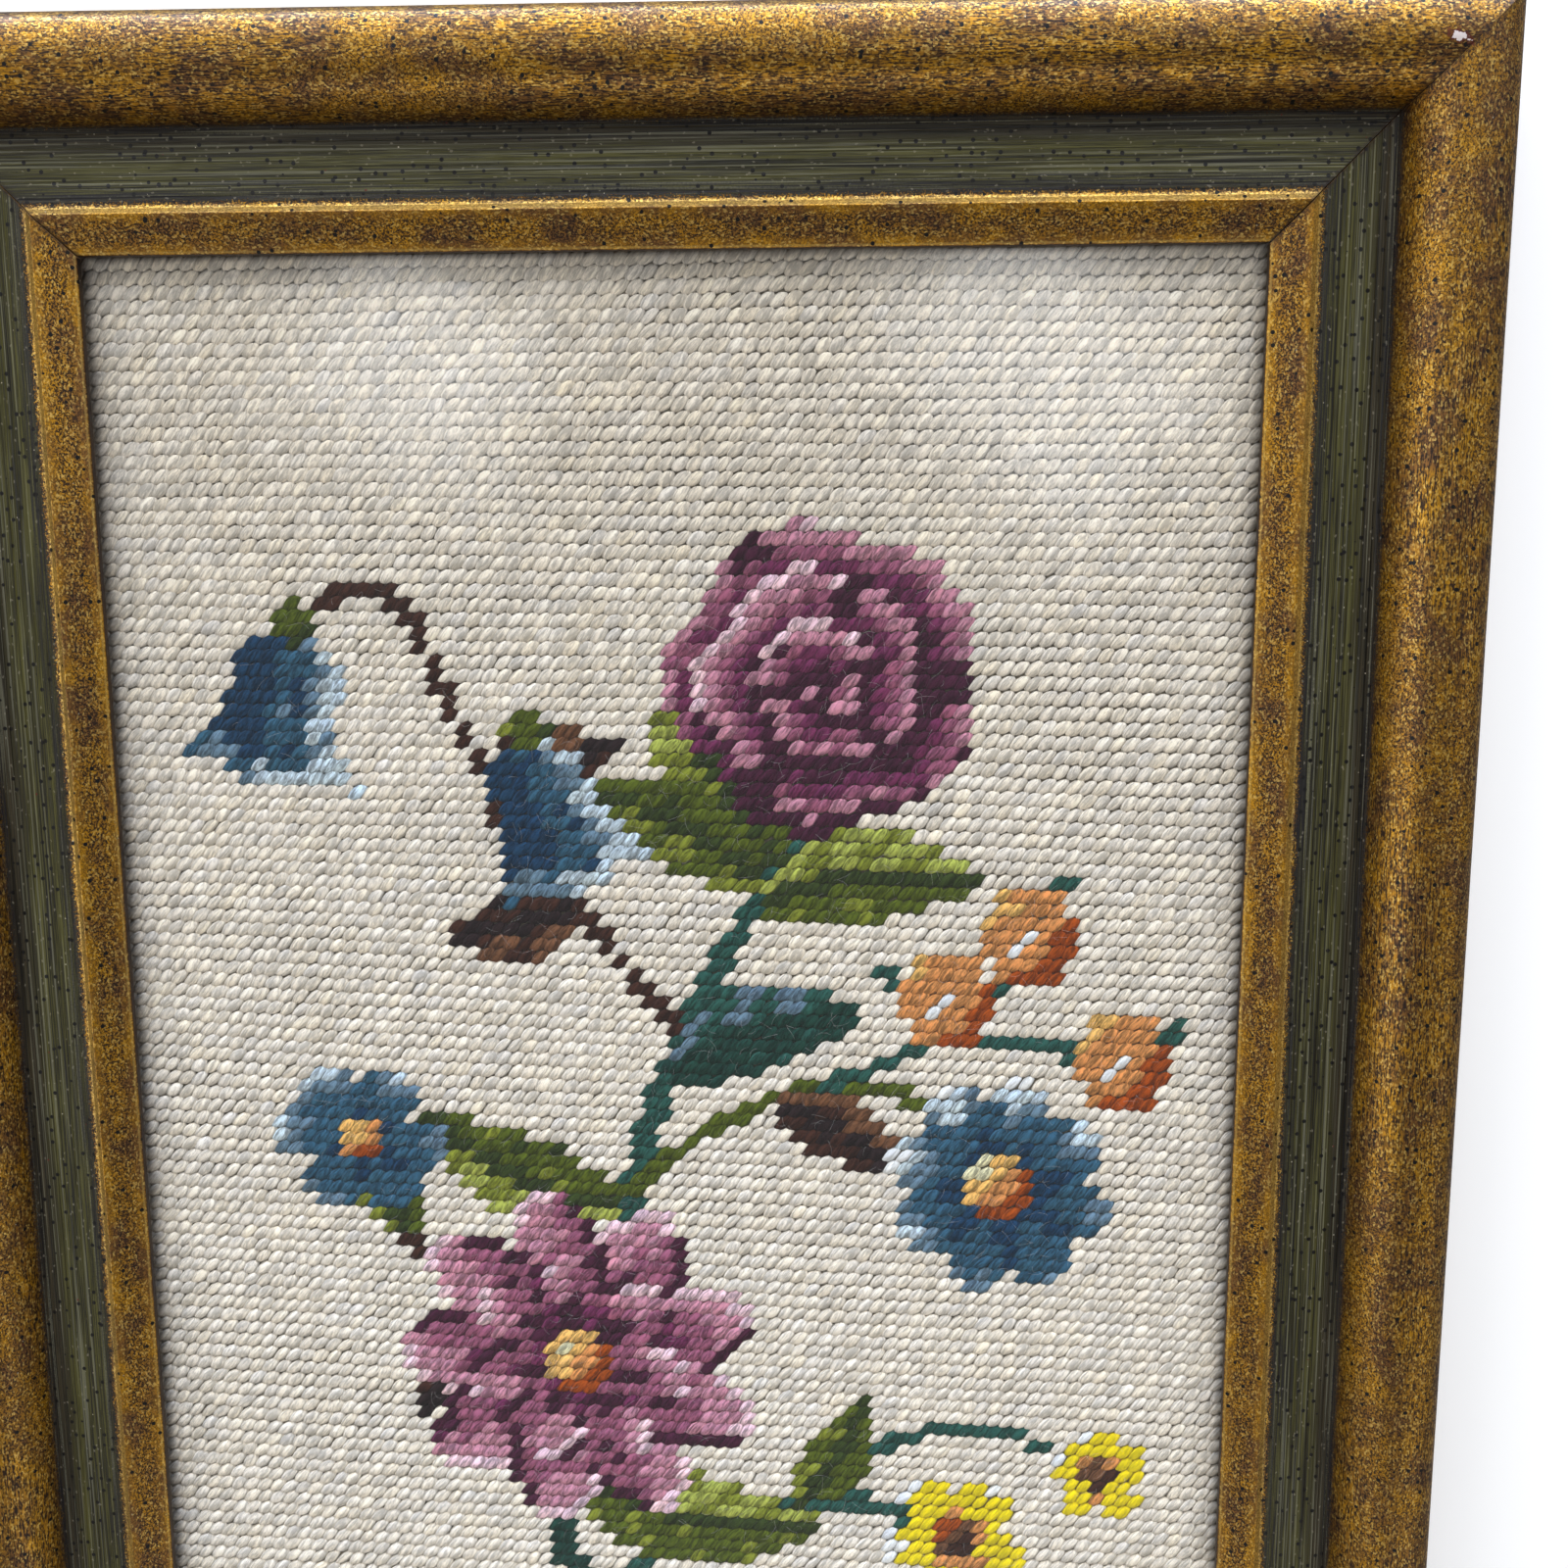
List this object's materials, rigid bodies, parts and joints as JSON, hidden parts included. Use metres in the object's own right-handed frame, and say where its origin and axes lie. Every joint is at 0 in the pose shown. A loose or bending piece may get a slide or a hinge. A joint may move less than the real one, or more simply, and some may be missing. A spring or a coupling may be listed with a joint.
{
  "type": "framed needlepoint picture in a wooden frame",
  "caption": "Wool needlepoint with a flower design, stretched under picture glass in a mitred gilt and slate wooden frame.",
  "frame": {"origin": "centre of the frame's outline, on the surface that its back lies on", "axes": "+X to the right across the picture, +Y up the picture, +Z out of its face"},
  "size_m": [0.281, 0.482, 0.022],
  "materials": {
    "gilt_moulding": "rubbed antique gilt with a brushed slate green panel, satin",
    "picture_glass": "clear sheet glass",
    "wool_needlepoint": "tent stitch in wool, matte",
    "board": "plain brown board, matte"
  },
  "bodies": {
    "root": {"moulding_top": "gilt_moulding", "moulding_bottom": "gilt_moulding", "moulding_left": "gilt_moulding", "moulding_right": "gilt_moulding", "picture_glass": "picture_glass", "needlepoint": "wool_needlepoint", "backing_board": "board"}
  },
  "joints": []
}
